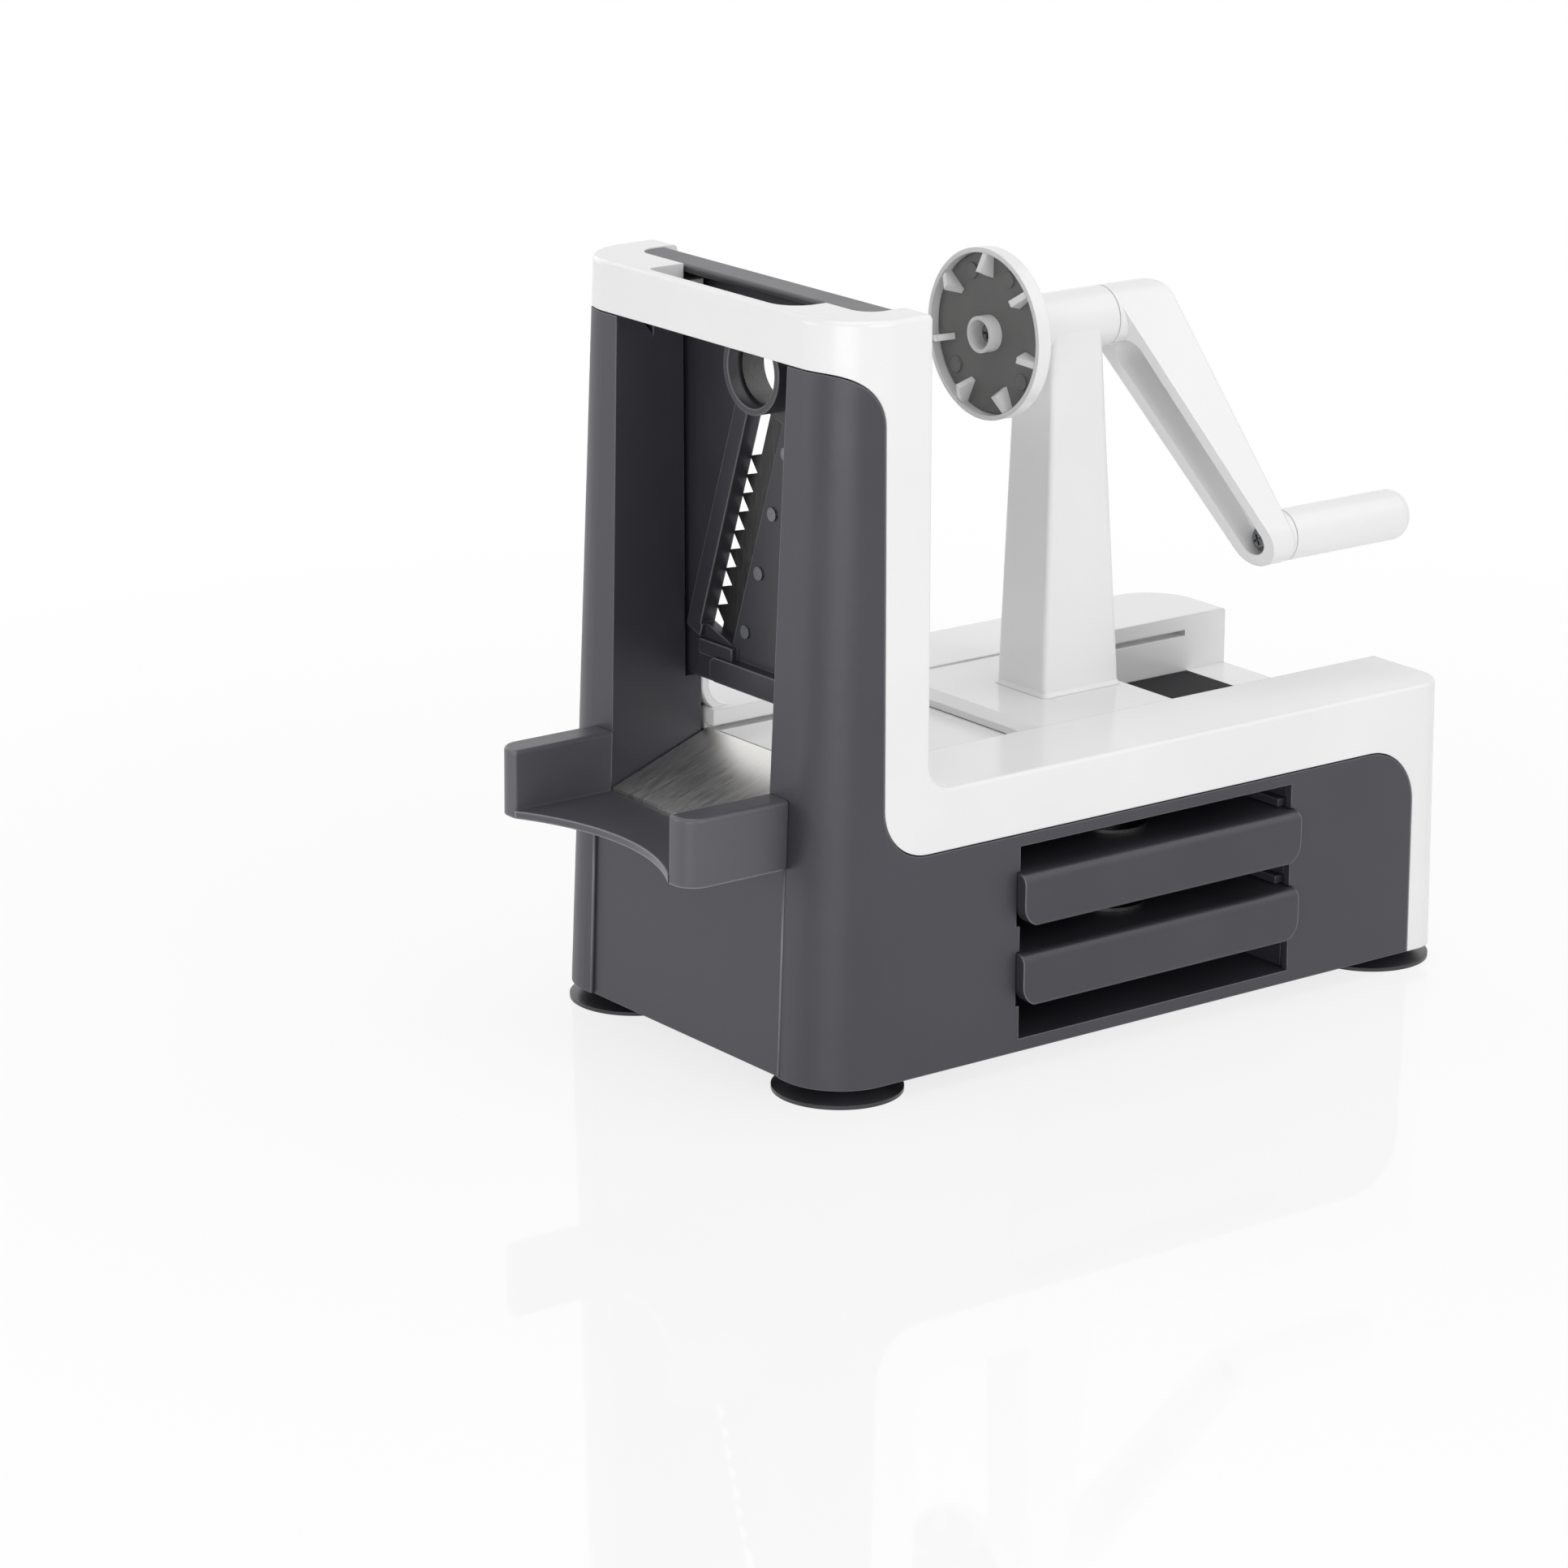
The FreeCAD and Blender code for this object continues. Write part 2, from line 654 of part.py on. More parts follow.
def catch_tray():
    """U-shaped tray: two hollow arms joined by a floor with a curved front edge."""
    rear = front_x(tray_top) + overcut
    front_of_floor = tray_front_x
    arms = []
    hollows = []
    for side in (-1, 1):
        outline = [
            (rear, side * tray_inner_half, 0), (tray_front_x, side * tray_inner_half, tray_edge_radius),
            (tray_front_x, side * tray_outer_half, tray_corner_radius), (rear, side * tray_outer_half, 0)]
        arm = along_z(outline, tray_bottom, tray_top)
        rim = [edge for edge in arm.Edges if edge.CenterOfMass.z > tray_top - pick
               and edge.CenterOfMass.x < rear - pick]
        arms.append(arm.makeFillet(tray_edge_radius, rim))
        y_pair = sorted((side * (tray_inner_half + tray_wall), side * (tray_outer_half - tray_wall)))
        hollows.append(box((tray_front_x + tray_wall + tray_edge_radius, rear + bite), y_pair,
                           (tray_bottom + tray_floor_thickness, tray_top - tray_wall)))
    front_arc = Part.Arc(Vector(front_of_floor, tray_inner_half, tray_bottom),
                         Vector(tray_floor_middle_x, 0, tray_bottom),
                         Vector(front_of_floor, -tray_inner_half, tray_bottom)).toShape()
    sides = Part.makePolygon([
        Vector(front_of_floor, -tray_inner_half, tray_bottom), Vector(rear, -tray_inner_half, tray_bottom),
        Vector(rear, tray_inner_half, tray_bottom), Vector(front_of_floor, tray_inner_half, tray_bottom)])
    floor = Part.Face(Part.Wire([front_arc] + sides.Edges)).extrude(Vector(0, 0, tray_floor_thickness))
    overlap = both_sides((tray_front_x + tray_corner_radius, rear),
                         (tray_inner_half - bite, tray_inner_half + bite),
                         (tray_bottom, tray_bottom + tray_floor_thickness))
    tray = fused(arms + [floor, overlap]).cut(hollows)
    return tray.cut(casing_volume(-seam_gap))


def storage_runner(side):
    """Grooved wall that carries one edge of both stored inserts; side is -1 in front, 1 behind."""
    x_wall = sorted((bay_centre_x + side * runner_reach, bay_centre_x + side * (runner_reach + runner_wall)))
    x_ledge = sorted((bay_centre_x + side * (runner_reach + runner_weld),
                      bay_centre_x + side * (runner_reach - runner_ledge)))
    start_y = -half_width(0) + 2 * wall
    pieces = [box(x_wall, (start_y, runner_end_y), (bay_low_z, runner_top_z))]
    rib_drop = insert_thickness + insert_rib_depth + body_gap
    for top in (stored_upper_top, stored_lower_top):
        pieces.append(box(x_ledge, (start_y, runner_end_y),
                          (top - rib_drop - runner_ledge_height, top - rib_drop)))
        pieces.append(box(x_ledge, (start_y, runner_end_y),
                          (top + body_gap, top + body_gap + runner_ledge_height)))
    return fused(pieces)


def frame_screws():
    """Four screws from below that hold the white frame on the housing."""
    head_z = base_split_z - seam_gap / 2 - wall
    return Part.makeCompound([screw(Vector(x, y, head_z), Vector(0, 0, 1))
                              for x in frame_screw_x for y in (-frame_screw_y, frame_screw_y)])


def suction_foot(x, y):
    """Rubber foot: a flared cup below, a neck through the plate and a snap head above it."""
    head_low = foot_plate_thickness
    head_high = foot_plate_thickness + foot_head_height
    profile = [
        Vector(0, 0, -foot_height + foot_recess_depth),
        Vector(foot_recess_radius - foot_slope, 0, -foot_height + foot_recess_depth),
        Vector(foot_recess_radius, 0, -foot_height),
        Vector(foot_radius, 0, -foot_height),
        Vector(foot_radius, 0, -foot_height + foot_rim_thickness),
        Vector(foot_recess_radius, 0, -foot_height + 2 * foot_rim_thickness),
        Vector(foot_head_radius + foot_slope, 0, -foot_collar_drop),
        Vector(foot_head_radius, 0, 0),
        Vector(foot_neck_radius, 0, 0),
        Vector(foot_neck_radius, 0, head_low),
        Vector(foot_head_radius, 0, head_low),
        Vector(foot_neck_radius, 0, head_high),
        Vector(0, 0, head_high)]
    foot = turned(profile, Vector(0, 0, 0), Vector(0, 0, 1))
    return foot.translated(Vector(x, y, 0))


# ---- Blade insert ---------------------------------------------------------------------------------
def slot_point(distance, across, x):
    """Point at a distance from the crank axis along the blade slot and across it towards +Y."""
    angle = math.radians(slot_angle)
    return Vector(x, distance * math.sin(angle) + across * math.cos(angle),
                  crank_axis_z - distance * math.cos(angle) + across * math.sin(angle))


def slanted_prism(places, low_x, high_x):
    """Prism along X of an outline given as (distance, across) places of the blade slot."""
    points = [slot_point(distance, across, low_x) for distance, across in places]
    return Part.Face(Part.makePolygon(points + [points[0]])).extrude(Vector(high_x - low_x, 0, 0))


def along_slot(section, start, end):
    """Bar with an (across, x) section that runs along the blade slot."""
    points = [slot_point(start, across, x) for across, x in section]
    direction = slot_point(1, 0, 0) - slot_point(0, 0, 0)
    return Part.Face(Part.makePolygon(points + [points[0]])).extrude(direction * (end - start))


def rivet_places():
    """Where both blades are riveted to the insert frame."""
    first = slot_start + rivet_end_inset
    pitch = (slot_end - rivet_end_inset - first) / (rivet_count - 1)
    return [slot_point(first + index * pitch, slot_left - rivet_inset, 0) for index in range(rivet_count)]


def insert_frame(lip_x):
    """Plate with a lip bent forward to lip_x, ribs, a lower bar, a collar and the blade slot."""
    plate = along_y([
        (lip_x, lip_bottom, lip_edge_radius),
        (lip_x, insert_top, lip_edge_radius),
        (insert_rear_x, insert_top, lip_bend_radius),
        (insert_rear_x, insert_bottom, insert_edge_radius),
        (insert_front_x, insert_bottom, insert_edge_radius),
        (insert_front_x, lip_bottom, lip_inner_radius)], -insert_half_width, insert_half_width)
    returns = both_sides((lip_x, insert_front_x + bite),
                         (insert_half_width - lip_return_width, insert_half_width),
                         (insert_top - lip_return_height, lip_bottom + bite))
    plan = along_z([
        (lip_x, -insert_half_width, lip_corner_radius), (bite, -insert_half_width, 0),
        (bite, insert_half_width, 0), (lip_x, insert_half_width, lip_corner_radius)],
        insert_bottom - bite, insert_top + bite)
    ribs = both_sides((insert_rib_x, insert_front_x + bite),
                      (insert_half_width - insert_edge_rib_width, insert_half_width),
                      (insert_bottom, lip_bottom + bite))
    bar = along_x([
        (-insert_bar_half, insert_bar_low, insert_bar_radius),
        (insert_bar_half, insert_bar_low, insert_bar_radius),
        (insert_bar_half, insert_bar_high, insert_bar_radius),
        (-insert_bar_half, insert_bar_high, insert_bar_radius)],
        insert_front_x - insert_bar_depth, insert_front_x + bite)
    block = box((insert_rib_x, insert_front_x + bite), (insert_block_start, insert_block_end),
                (insert_bar_high - bite, insert_bar_high + insert_block_height))
    band_end = slot_right + slot_band_width
    band = along_slot([
        (slot_right - bite, insert_rib_x), (band_end - slot_band_bevel, insert_rib_x),
        (band_end, insert_rib_x + slot_band_bevel), (band_end, insert_front_x + bite),
        (slot_right - bite, insert_front_x + bite)],
        slot_start - slot_band_overhang, slot_end + slot_band_overhang)
    collar = rod((collar_front_x, insert_front_x + bite), ring_radius + collar_wall)
    body = fused([plate.fuse(returns).common(plan), ribs, bar, block, band, collar])
    window = slanted_prism([(slot_start, slot_left), (slot_end, slot_left), (slot_end, slot_right),
                            (slot_start, slot_right)], insert_rib_x - bite, overcut)
    tools = [window, rod((collar_front_x - bite, overcut), ring_radius + press_gap)]
    for place in rivet_places():
        tools.append(rod((insert_rib_x, overcut), rivet_radius + press_gap, place.y, place.z))
    return body.cut(tools).removeSplitter()


def comb_blade():
    """Toothed steel strip on the insert's rear face; its teeth reach across the slot."""
    mount = slot_left - blade_mount_width
    places = [(slot_end + bite, mount), (slot_start + bite, mount),
              (slot_start + bite, tooth_valley_across), (tooth_start, tooth_valley_across)]
    for index in range(tooth_count):
        root = tooth_start + index * tooth_pitch
        places.append((root + tooth_pitch / 2, tooth_valley_across + tooth_depth))
        places.append((root + tooth_pitch, tooth_valley_across))
    places.append((slot_end + bite, tooth_valley_across))
    blade = slanted_prism(places, insert_rear_x, insert_rear_x + blade_thickness)
    return blade.cut(rivet_holes())


def slicing_blade():
    """Steel knife on the comb's mount; its edge stands off the comb along the slot."""
    low = insert_rear_x + blade_thickness
    high = low + blade_thickness
    mount = slot_left - blade_mount_width
    blade = along_slot([
        (mount, low), (mount, high), (slot_left, high),
        (blade_edge_across - blade_bevel, high + blade_lift),
        (blade_edge_across, low + blade_lift + blade_thickness / 2), (slot_left, low)],
        slot_start + bite, slot_end + bite)
    return blade.cut(rivet_holes())


def rivet_holes():
    """Holes for the rivets through both blades."""
    return [rod((insert_rear_x - bite, insert_rear_x + 2 * blade_thickness + bite),
                rivet_radius + press_gap, place.y, place.z) for place in rivet_places()]


def core_ring():
    """Steel tube on the crank axis that cuts out the core."""
    return rod((ring_front_x, ring_rear_x), ring_radius).cut(
        rod((ring_front_x - bite, ring_rear_x + bite), ring_radius - ring_wall))


def blade_rivets():
    """Rivets through the plate and both blades with a head on both faces."""
    rear = insert_rear_x + 2 * blade_thickness
    rivets = []
    for place in rivet_places():
        rivets.append(fused([
            rod((insert_front_x, rear), rivet_radius, place.y, place.z),
            rod((rear, rear + rivet_head_height), rivet_head_radius, place.y, place.z),
            rod((insert_front_x - rivet_head_height, insert_front_x), rivet_head_radius,
                place.y, place.z)]))
    return Part.makeCompound(rivets)


def insert_pieces(lip_x):
    """The five pieces of one insert, as they stand in the tower."""
    return {
        "frame": insert_frame(lip_x),
        "comb_blade": comb_blade(),
        "slicing_blade": slicing_blade(),
        "core_ring": core_ring(),
        "blade_rivets": blade_rivets()}


def stored(shape, top):
    """The same piece laid flat in the bay with its lip outside the wall and its rear face up."""
    matrix = FreeCAD.Matrix(0, -1, 0, bay_centre_x,
                            0, 0, -1, stored_lip_y + insert_top,
                            1, 0, 0, top - insert_rear_x,
                            0, 0, 0, 1)
    return shape.transformed(matrix, True)


# ---- Carriage -------------------------------------------------------------------------------------
def post_screw_places():
    """Centres of the screws that hold the post on the plate."""
    inset = post_screw_inset
    return [(x, y) for x in (post_front_x + inset, post_rear_x - inset)
            for y in (-post_half + inset, post_half - inset)]


def carriage_plate():
    """Sliding plate with a bevelled front and, on each side, a skirt with a tongue under the rail lip."""
    plate = along_y([
        (plate_front_x, plate_bottom, 0), (plate_rear_x, plate_bottom, 0),
        (plate_rear_x, plate_top, plate_edge_radius),
        (plate_front_x + plate_bevel, plate_top, 0), (plate_front_x, plate_top - plate_bevel, 0)],
        -plate_half, plate_half)
    pocket = box((plate_front_x + plate_rim, plate_rear_x - plate_rim),
                 (-deck_groove_inner + plate_rim, deck_groove_inner - plate_rim),
                 (plate_bottom - bite, plate_top - plate_skin))
    length = (plate_front_x + plate_bevel, plate_rear_x - tongue_setback)
    tongue_low = rail_groove_floor + body_gap
    skirts = both_sides(length, (deck_groove_inner + body_gap, plate_half), (tongue_low, plate_bottom + bite))
    tongues = both_sides(length, (deck_groove_inner + body_gap, rail_groove_half - body_gap),
                         (tongue_low, rail_lip_bottom - body_gap))
    body = fused([plate.cut(pocket), skirts, tongues])
    holes = [upright(x, y, (plate_bottom - bite, plate_top + bite), screw_radius + press_gap)
             for x, y in post_screw_places()]
    return body.cut(holes)


def post_section(z, shrink):
    """Rounded rectangle of the tapered post at height z."""
    share = (z - plate_top) / (crank_axis_z - plate_top)
    front = post_front_x + share * (post_top_front_x - post_front_x) + shrink
    rear = post_rear_x + share * (post_top_rear_x - post_rear_x) - shrink
    half = post_half + share * (post_top_half - post_half) - shrink
    radius = max(post_corner_radius - shrink, post_inner_radius)
    return rounded_wire([(Vector(front, -half, z), radius), (Vector(rear, -half, z), radius),
                         (Vector(rear, half, z), radius), (Vector(front, half, z), radius)])


def bearing_post():
    """Hollow tapered post with a bored head on the crank axis."""
    shaft_column = Part.makeLoft([post_section(plate_top, 0), post_section(crank_axis_z, 0)], True, True)
    foot = Part.makeLoft([post_section(plate_top, -post_foot_flare),
                          post_section(plate_top + post_foot_height, 0)], True, True)
    hollow_top = crank_axis_z - head_radius - wall
    hollow = Part.makeLoft([post_section(plate_top - bite, wall), post_section(hollow_top, wall)], True, True)
    head = rod((head_front_x, head_rear_x), head_radius)
    ends = [edge for edge in head.Edges if edge.Length > 4 * head_radius
            and abs(edge.CenterOfMass.x - head_front_x) < pick]
    head = head.makeFillet(head_edge_radius, ends)
    bosses = [upright(x, y, (plate_top, plate_top + screw_length + wall), boss_radius)
              for x, y in post_screw_places()]
    inside = [boss.common(hollow) for boss in bosses]
    column = fused([fused([shaft_column, foot]).cut(hollow)] + inside)
    bores = [
        rod((head_front_x - bite, head_front_x + bush_length), bush_radius),
        rod((head_rear_x - bush_length, head_rear_x + bite), bush_radius),
        rod((head_front_x, head_rear_x), shaft_radius + head_bore_gap)]
    holes = [upright(x, y, (plate_top - bite, plate_top + screw_length), screw_radius + press_gap)
             for x, y in post_screw_places()]
    return fused([column, head]).cut(bores + holes)


def bush(low_x):
    """Plain bearing bush in the head's bore."""
    return rod((low_x, low_x + bush_length), bush_radius - press_gap).cut(
        rod((low_x - bite, low_x + bush_length + bite), shaft_radius + running_gap))


def post_screws():
    """Four screws from below the plate into the post."""
    seat = plate_top - plate_skin
    return Part.makeCompound([screw(Vector(x, y, seat), Vector(0, 0, 1)) for x, y in post_screw_places()])


# ---- Crank ----------------------------------------------------------------------------------------
def fin_angles():
    """Directions of the disc's teeth, from straight up towards -Y."""
    return [360.0 / tooth_fin_count * index for index in range(tooth_fin_count)]


def around_axis(shape, angle):
    """The shape turned about the crank axis."""
    return shape.rotated(Vector(0, 0, crank_axis_z), Vector(1, 0, 0), angle)


def disc_fin(extra):
    """One pointed tooth that stands on the disc's plate and meets its rim."""
    outer_radius = disc_radius - disc_rim / 2
    root_x = disc_plate_front_x + disc_weld
    outline = [(fin_inner_radius - extra, root_x), (fin_tip_radius - extra, fin_tip_x),
               (outer_radius, disc_rim_front_x + fin_rim_step), (outer_radius, root_x)]
    width = fin_width + 2 * extra
    points = [Vector(x, -width / 2, crank_axis_z + radius) for radius, x in outline]
    return Part.Face(Part.makePolygon(points + [points[0]])).extrude(Vector(0, width, 0))


def food_disc():
    """White cup with a rim, teeth that hold the vegetable and a centring ring."""
    cup = rod((disc_rim_front_x, disc_rear_x), disc_radius).cut(
        rod((disc_rim_front_x - bite, disc_plate_front_x), disc_radius - disc_rim))
    rear_edge = [edge for edge in cup.Edges if edge.Length > 5 * disc_radius
                 and edge.CenterOfMass.x > disc_rear_x - pick]
    cup = cup.makeFillet(disc_edge_radius, rear_edge)
    hub = rod((disc_plate_front_x, head_front_x - body_gap), disc_hub_radius)
    ring = rod((spike_ring_front_x, disc_plate_front_x + disc_weld), spike_ring_radius)
    fins = [around_axis(disc_fin(0), angle) for angle in fin_angles()]
    screw_pocket = rod((spike_ring_front_x - bite, disc_plate_front_x), spike_ring_radius - spike_ring_wall)
    bore = rod((disc_plate_front_x - bite, head_front_x), shaft_radius + press_gap)
    return fused([cup, hub, ring] + fins).cut([screw_pocket, bore])


def disc_pad():
    """Grey grip pad in the cup, with slots for the teeth and raised round pips between them."""
    pad_front_x = disc_plate_front_x - pad_thickness
    pad = rod((pad_front_x, disc_plate_front_x), disc_radius - disc_rim - body_gap)
    pips = []
    for angle in fin_angles()[::2]:
        pip = rod((pad_front_x - pad_boss_height, pad_front_x + pad_thickness / 2), pad_boss_radius,
                  z=crank_axis_z + pad_boss_circle)
        pips.append(around_axis(pip, angle + 180.0 / tooth_fin_count))
    slots = [around_axis(disc_fin(fin_slot_gap), angle) for angle in fin_angles()]
    hole = rod((disc_rim_front_x, disc_plate_front_x + bite), spike_ring_radius + press_gap)
    return fused([pad] + pips).cut(slots + [hole])


def disc_screw():
    """Screw that holds the disc on the shaft's front end."""
    return screw(Vector(disc_plate_front_x - shaft_end_gap, 0, crank_axis_z), Vector(1, 0, 0))


def drive_shaft():
    """Steel shaft from the disc through the head into the crank's hub."""
    front = disc_plate_front_x - shaft_end_gap
    rear = hub_front_x + hub_depth - 2 * screw_head_height - wall
    shaft = rod((front, rear), shaft_radius)
    return shaft.cut([rod((front - bite, front + screw_length), screw_radius + press_gap),
                      rod((rear - screw_length, rear + bite), screw_radius + press_gap)])


def arm_outline(low_x, high_x, start, end, start_radius, end_radius):
    """Prism along X of two circles below each other joined by their tangents."""
    distance = end - start
    lean = math.asin((start_radius - end_radius) / distance)
    top = Vector(low_x, 0, crank_axis_z - start)
    bottom = Vector(low_x, 0, crank_axis_z - end)
    side = Vector(0, math.cos(lean), -math.sin(lean))
    mirrored = Vector(0, -math.cos(lean), -math.sin(lean))
    up = Vector(0, 0, 1)
    wire = Part.Wire([
        Part.Arc(top + mirrored * start_radius, top + up * start_radius, top + side * start_radius).toShape(),
        Part.LineSegment(top + side * start_radius, bottom + side * end_radius).toShape(),
        Part.Arc(bottom + side * end_radius, bottom - up * end_radius,
                 bottom + mirrored * end_radius).toShape(),
        Part.LineSegment(bottom + mirrored * end_radius, top + mirrored * start_radius).toShape()])
    return Part.Face(wire).extrude(Vector(high_x - low_x, 0, 0))


def arm_rear_x(distance):
    """Rear face of the arm at a distance from the crank axis."""
    return hub_front_x + hub_depth + arm_rear_slope * distance


arm_end_x = arm_rear_x(arm_length)
neck_end_x = arm_end_x + neck_length
screw_boss_x = arm_end_x - screw_boss_length
washer_x = screw_boss_x - body_gap - washer_thickness
grip_front_x = neck_end_x + body_gap
grip_end_x = grip_front_x + grip_length
grip_z = crank_axis_z - arm_length
seat_x = grip_front_x + sleeve_seat_depth


def crank_arm():
    """Slanted U-section arm with a hub, a screw boss and a neck for the grip."""
    end = arm_length + arm_end_radius
    top = crank_axis_z + head_radius
    bottom = crank_axis_z - end
    width = (-2 * head_radius, 2 * head_radius)
    side = along_y([
        (hub_front_x, top, hub_edge_radius),
        (arm_rear_x(-head_radius), top, hub_round),
        (arm_rear_x(end), bottom, arm_rear_radius),
        (hub_front_x + arm_front_slope * (end + arm_front_start), bottom, arm_front_radius),
        (hub_front_x, crank_axis_z + arm_front_start, 0)], *width)
    plan = arm_outline(hub_front_x - bite, neck_end_x + bite, 0, arm_length, head_radius, arm_end_radius)
    hub = rod((hub_front_x, hub_front_x + hub_depth / 2), head_radius)
    neck = rod((arm_end_x - arm_floor, neck_end_x), grip_radius, z=grip_z)
    pocket_floor = along_y([
        (hub_front_x - bite, crank_axis_z, 0), (arm_rear_x(0) - arm_floor, crank_axis_z, 0),
        (arm_rear_x(end) - arm_floor, bottom, 0), (hub_front_x - bite, bottom, 0)], *width)
    start_radius = head_radius - (head_radius - arm_end_radius) * pocket_start / arm_length - arm_wall
    pocket = arm_outline(hub_front_x - bite, neck_end_x, pocket_start, arm_length, start_radius,
                         arm_end_radius - arm_wall).common(pocket_floor)
    boss = rod((screw_boss_x, arm_end_x), screw_boss_radius, z=grip_z)
    arm = fused([fused([side.common(plan), hub]).cut(pocket), neck, boss])
    screw_seat = arm_rear_x(0) - 2 * screw_head_height
    tools = [
        rod((hub_front_x - bite, screw_seat - wall), shaft_radius + press_gap),
        rod((screw_seat - wall - bite, screw_seat + bite), screw_radius + press_gap),
        rod((screw_seat, arm_rear_x(0) + overcut), screw_head_radius + body_gap),
        rod((screw_boss_x - bite, neck_end_x + bite), sleeve_radius + running_gap, z=grip_z)]
    return arm.cut(tools)


def crank_screw():
    """Screw from the rear that holds the arm on the shaft."""
    return screw(Vector(arm_rear_x(0) - 2 * screw_head_height, 0, crank_axis_z), Vector(-1, 0, 0),
                 length=screw_length)


def grip():
    """Hollow grip with a rounded closed end and a core for its screw."""
    body = rod((grip_front_x, grip_end_x), grip_radius, z=grip_z)
    end_edge = [edge for edge in body.Edges if edge.Length > 4 * grip_radius
                and edge.CenterOfMass.x > grip_end_x - pick]
    body = body.makeFillet(grip_end_round, end_edge)
    room = (grip_front_x - bite, grip_end_x - grip_end_wall)
    hollow = rod(room, grip_radius - grip_wall, z=grip_z).cut(rod(room, grip_core_radius, z=grip_z))
    seat = rod((grip_front_x - bite, seat_x), sleeve_radius + press_gap, z=grip_z)
    thread = rod((seat_x - bite, seat_x + screw_length), grip_screw_radius + press_gap, z=grip_z)
    return body.cut([hollow, seat, thread])


def grip_sleeve():
    """Steel sleeve that turns in the arm and is clamped to the grip."""
    x = (washer_x + washer_thickness, seat_x)
    return rod(x, sleeve_radius, z=grip_z).cut(
        rod((x[0] - bite, x[1] + bite), grip_screw_radius + press_gap, z=grip_z))


def grip_washer():
    """Washer between the screw head and the sleeve."""
    x = (washer_x, washer_x + washer_thickness)
    return rod(x, screw_boss_radius - washer_inset, z=grip_z).cut(
        rod((x[0] - bite, x[1] + bite), grip_screw_radius + press_gap, z=grip_z))


def grip_screw():
    """Screw in the arm's pocket that clamps the sleeve to the grip."""
    length = seat_x + screw_length - bite - washer_x
    return screw(Vector(washer_x, 0, grip_z), Vector(1, 0, 0), grip_screw_radius, length)


# ---- Assembly -------------------------------------------------------------------------------------
parts = {
    "lower_housing": lower_housing(),
    "upper_frame": upper_frame(),
    "outlet_chute": outlet_chute(),
    "catch_tray": catch_tray(),
    "storage_runner_front": storage_runner(-1),
    "storage_runner_rear": storage_runner(1),
    "frame_screws": frame_screws(),
    "carriage_plate": carriage_plate(),
    "bearing_post": bearing_post(),
    "post_screws": post_screws(),
    "front_bush": bush(head_front_x),
    "rear_bush": bush(head_rear_x - bush_length),
    "drive_shaft": drive_shaft(),
    "food_disc": food_disc(),
    "disc_pad": disc_pad(),
    "disc_screw": disc_screw(),
    "crank_arm": crank_arm(),
    "crank_screw": crank_screw(),
    "grip": grip(),
    "grip_sleeve": grip_sleeve(),
    "grip_washer": grip_washer(),
    "grip_screw": grip_screw()}

for name, (foot_x, foot_side) in foot_places().items():
    parts[name] = suction_foot(foot_x, foot_side)

for name, shape in insert_pieces(lip_front_x).items():
    parts["insert_" + name] = shape

for name, shape in insert_pieces(spare_lip_front_x).items():
    parts["spare_upper_" + name] = stored(shape, stored_upper_top)
    parts["spare_lower_" + name] = stored(shape, stored_lower_top)

for name in ("crank_arm", "crank_screw", "grip", "grip_sleeve", "grip_washer", "grip_screw"):
    parts[name] = around_axis(parts[name], crank_angle)

rear_end_x = max(grip_end_x, foot_rear_x + foot_radius)
origin = Vector((tray_front_x + rear_end_x) / 2, (stored_lip_y + foot_y + foot_radius) / 2, -foot_height)
os.makedirs("parts", exist_ok=True)
for name, shape in parts.items():
    shape.translated(-origin).exportStep("parts/" + name + ".step")

print("origin of the drawing frame in the part frame:", [round(value, 3) for value in -origin])
for name, shape in sorted(parts.items()):
    print(name, "solids", len(shape.Solids), "valid", shape.isValid(), "volume", round(shape.Volume, 1))
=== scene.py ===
import json
import math

import bpy
import numpy as np
from mathutils import Matrix, Vector


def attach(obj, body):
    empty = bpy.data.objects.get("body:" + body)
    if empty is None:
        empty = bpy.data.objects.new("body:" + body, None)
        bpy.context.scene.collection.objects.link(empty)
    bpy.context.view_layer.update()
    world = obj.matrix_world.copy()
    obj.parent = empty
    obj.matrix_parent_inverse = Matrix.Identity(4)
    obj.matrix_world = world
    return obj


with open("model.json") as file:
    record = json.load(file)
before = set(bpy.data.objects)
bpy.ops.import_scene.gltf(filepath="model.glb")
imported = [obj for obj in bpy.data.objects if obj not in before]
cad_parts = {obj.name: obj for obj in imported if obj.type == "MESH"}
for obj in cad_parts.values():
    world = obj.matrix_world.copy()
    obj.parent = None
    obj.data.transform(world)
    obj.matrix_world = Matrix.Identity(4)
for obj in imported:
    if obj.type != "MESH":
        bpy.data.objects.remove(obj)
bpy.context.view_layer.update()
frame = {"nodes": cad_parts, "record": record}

# Looks of a hand-cranked spiralizer: satin white and dark grey moulded ABS, steel blades and sheet,
# rubber feet, on a plain white table under soft studio light. Lengths are metres.

MM = 0.001


# ---- Colours and nodes ----------------------------------------------------------------------------
def linear(code):
    """Linear RGBA of an sRGB hex colour."""
    values = [int(code[i:i + 2], 16) / 255 for i in (1, 3, 5)]
    return [v / 12.92 if v <= 0.04045 else ((v + 0.055) / 1.055) ** 2.4 for v in values] + [1.0]


def node(tree, kind, settings=None, links=None):
    """One shader node with its settings and its input links.

    A settings key names a property of the node or one of its input sockets, and a links key names
    an input socket and holds the output socket that feeds it."""
    made = tree.nodes.new(kind)
    for key, value in (settings or {}).items():
        if key in made.inputs:
            made.inputs[key].default_value = value
        else:
            setattr(made, key, value)
    for key, source in (links or {}).items():
        tree.links.new(source, made.inputs[key])
    return made


